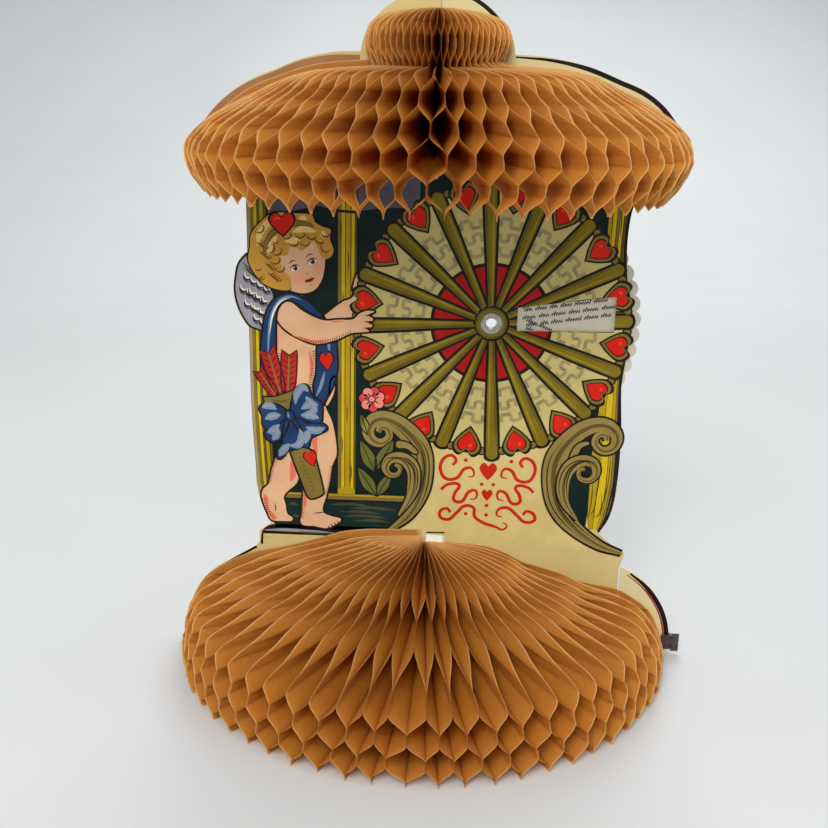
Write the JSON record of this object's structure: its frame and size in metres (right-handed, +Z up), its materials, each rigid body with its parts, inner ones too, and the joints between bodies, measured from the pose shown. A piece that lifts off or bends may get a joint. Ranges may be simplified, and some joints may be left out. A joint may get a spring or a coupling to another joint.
{
  "type": "honeycomb paper stand-up decoration",
  "caption": "Stand-up printed card with a half-round honeycomb tissue canopy, a honeycomb tissue base and a verse wheel that turns behind a window.",
  "frame": {"origin": "on the main card's standing edge, at the foot of the line that both fans fold about", "axes": "+X to the right of someone facing the printed side, -Y towards them, +Z up"},
  "size_m": [0.1591, 0.0789, 0.1985],
  "materials": {
    "printed_board": "matt",
    "cream_board": "matt",
    "tissue": "matt",
    "disc_paper": "matt",
    "white_paper": "matt",
    "tape": "matt",
    "eyelet_metal": "dull",
    "clip_metal": "dull"
  },
  "bodies": {
    "card": {"main_card": "printed_board", "base_leaf_0": "tissue", "canopy_leaf_0": "tissue", "base_binding": "tissue", "canopy_binding": "tissue", "base_tape_card_side": "tape", "canopy_tape_card_side": "tape", "eyelet": "eyelet_metal", "eyelet_washer": "eyelet_metal", "slot_tab": "white_paper"},
    "base_flap": {"base_flap": "cream_board", "base_leaf_8": "tissue", "base_tape_flap_side": "tape"},
    "canopy_flap": {"canopy_flap": "cream_board", "canopy_leaf_8": "tissue", "canopy_tape_flap_side": "tape"},
    "wheel": {"wheel_disc": "disc_paper"},
    "clip": {"base_clip": "clip_metal"},
    "base_fan_1": {"base_leaf_1": "tissue"},
    "base_fan_2": {"base_leaf_2": "tissue"},
    "base_fan_3": {"base_leaf_3": "tissue"},
    "base_fan_4": {"base_leaf_4": "tissue"},
    "base_fan_5": {"base_leaf_5": "tissue"},
    "base_fan_6": {"base_leaf_6": "tissue"},
    "base_fan_7": {"base_leaf_7": "tissue"},
    "canopy_fan_1": {"canopy_leaf_1": "tissue"},
    "canopy_fan_2": {"canopy_leaf_2": "tissue"},
    "canopy_fan_3": {"canopy_leaf_3": "tissue"},
    "canopy_fan_4": {"canopy_leaf_4": "tissue"},
    "canopy_fan_5": {"canopy_leaf_5": "tissue"},
    "canopy_fan_6": {"canopy_leaf_6": "tissue"},
    "canopy_fan_7": {"canopy_leaf_7": "tissue"}
  },
  "joints": [
    {"name": "base_fold", "type": "hinge", "parent": "card", "child": "base_flap", "pos_m": [0, -0.00055, 0.0079], "axis": [0, 0, -1], "range_deg": [0, 168]},
    {"name": "canopy_fold", "type": "hinge", "parent": "card", "child": "canopy_flap", "pos_m": [0, -0.00055, 0.1714], "axis": [0, 0, -1], "range_deg": [0, 168]},
    {"name": "wheel_spin", "type": "hinge", "parent": "card", "child": "wheel", "pos_m": [0.018, 0.0008, 0.1068], "axis": [0, -1, 0], "continuous": true},
    {"name": "clip_slide", "type": "slide", "parent": "base_flap", "child": "clip", "axis": [1, 0, 0], "range_m": [0, 0.008]},
    {"name": "base_leaf_1_turn", "type": "hinge", "parent": "card", "child": "base_fan_1", "pos_m": [0, -0.00055, 0.0079], "axis": [0, 0, -1], "range_deg": [0, 21]},
    {"name": "base_leaf_2_turn", "type": "hinge", "parent": "card", "child": "base_fan_2", "pos_m": [0, -0.00055, 0.0079], "axis": [0, 0, -1], "range_deg": [0, 42]},
    {"name": "base_leaf_3_turn", "type": "hinge", "parent": "card", "child": "base_fan_3", "pos_m": [0, -0.00055, 0.0079], "axis": [0, 0, -1], "range_deg": [0, 63]},
    {"name": "base_leaf_4_turn", "type": "hinge", "parent": "card", "child": "base_fan_4", "pos_m": [0, -0.00055, 0.0079], "axis": [0, 0, -1], "range_deg": [0, 84]},
    {"name": "base_leaf_5_turn", "type": "hinge", "parent": "card", "child": "base_fan_5", "pos_m": [0, -0.00055, 0.0079], "axis": [0, 0, -1], "range_deg": [0, 105]},
    {"name": "base_leaf_6_turn", "type": "hinge", "parent": "card", "child": "base_fan_6", "pos_m": [0, -0.00055, 0.0079], "axis": [0, 0, -1], "range_deg": [0, 126]},
    {"name": "base_leaf_7_turn", "type": "hinge", "parent": "card", "child": "base_fan_7", "pos_m": [0, -0.00055, 0.0079], "axis": [0, 0, -1], "range_deg": [0, 147]},
    {"name": "canopy_leaf_1_turn", "type": "hinge", "parent": "card", "child": "canopy_fan_1", "pos_m": [0, -0.00055, 0.1714], "axis": [0, 0, -1], "range_deg": [0, 21]},
    {"name": "canopy_leaf_2_turn", "type": "hinge", "parent": "card", "child": "canopy_fan_2", "pos_m": [0, -0.00055, 0.1714], "axis": [0, 0, -1], "range_deg": [0, 42]},
    {"name": "canopy_leaf_3_turn", "type": "hinge", "parent": "card", "child": "canopy_fan_3", "pos_m": [0, -0.00055, 0.1714], "axis": [0, 0, -1], "range_deg": [0, 63]},
    {"name": "canopy_leaf_4_turn", "type": "hinge", "parent": "card", "child": "canopy_fan_4", "pos_m": [0, -0.00055, 0.1714], "axis": [0, 0, -1], "range_deg": [0, 84]},
    {"name": "canopy_leaf_5_turn", "type": "hinge", "parent": "card", "child": "canopy_fan_5", "pos_m": [0, -0.00055, 0.1714], "axis": [0, 0, -1], "range_deg": [0, 105]},
    {"name": "canopy_leaf_6_turn", "type": "hinge", "parent": "card", "child": "canopy_fan_6", "pos_m": [0, -0.00055, 0.1714], "axis": [0, 0, -1], "range_deg": [0, 126]},
    {"name": "canopy_leaf_7_turn", "type": "hinge", "parent": "card", "child": "canopy_fan_7", "pos_m": [0, -0.00055, 0.1714], "axis": [0, 0, -1], "range_deg": [0, 147]}
  ],
  "couplings": [
    {"joint": "base_leaf_1_turn", "follows": "base_fold", "ratio": 0.125},
    {"joint": "base_leaf_2_turn", "follows": "base_fold", "ratio": 0.25},
    {"joint": "base_leaf_3_turn", "follows": "base_fold", "ratio": 0.375},
    {"joint": "base_leaf_4_turn", "follows": "base_fold", "ratio": 0.5},
    {"joint": "base_leaf_5_turn", "follows": "base_fold", "ratio": 0.625},
    {"joint": "base_leaf_6_turn", "follows": "base_fold", "ratio": 0.75},
    {"joint": "base_leaf_7_turn", "follows": "base_fold", "ratio": 0.875},
    {"joint": "canopy_leaf_1_turn", "follows": "canopy_fold", "ratio": 0.125},
    {"joint": "canopy_leaf_2_turn", "follows": "canopy_fold", "ratio": 0.25},
    {"joint": "canopy_leaf_3_turn", "follows": "canopy_fold", "ratio": 0.375},
    {"joint": "canopy_leaf_4_turn", "follows": "canopy_fold", "ratio": 0.5},
    {"joint": "canopy_leaf_5_turn", "follows": "canopy_fold", "ratio": 0.625},
    {"joint": "canopy_leaf_6_turn", "follows": "canopy_fold", "ratio": 0.75},
    {"joint": "canopy_leaf_7_turn", "follows": "canopy_fold", "ratio": 0.875}
  ]
}
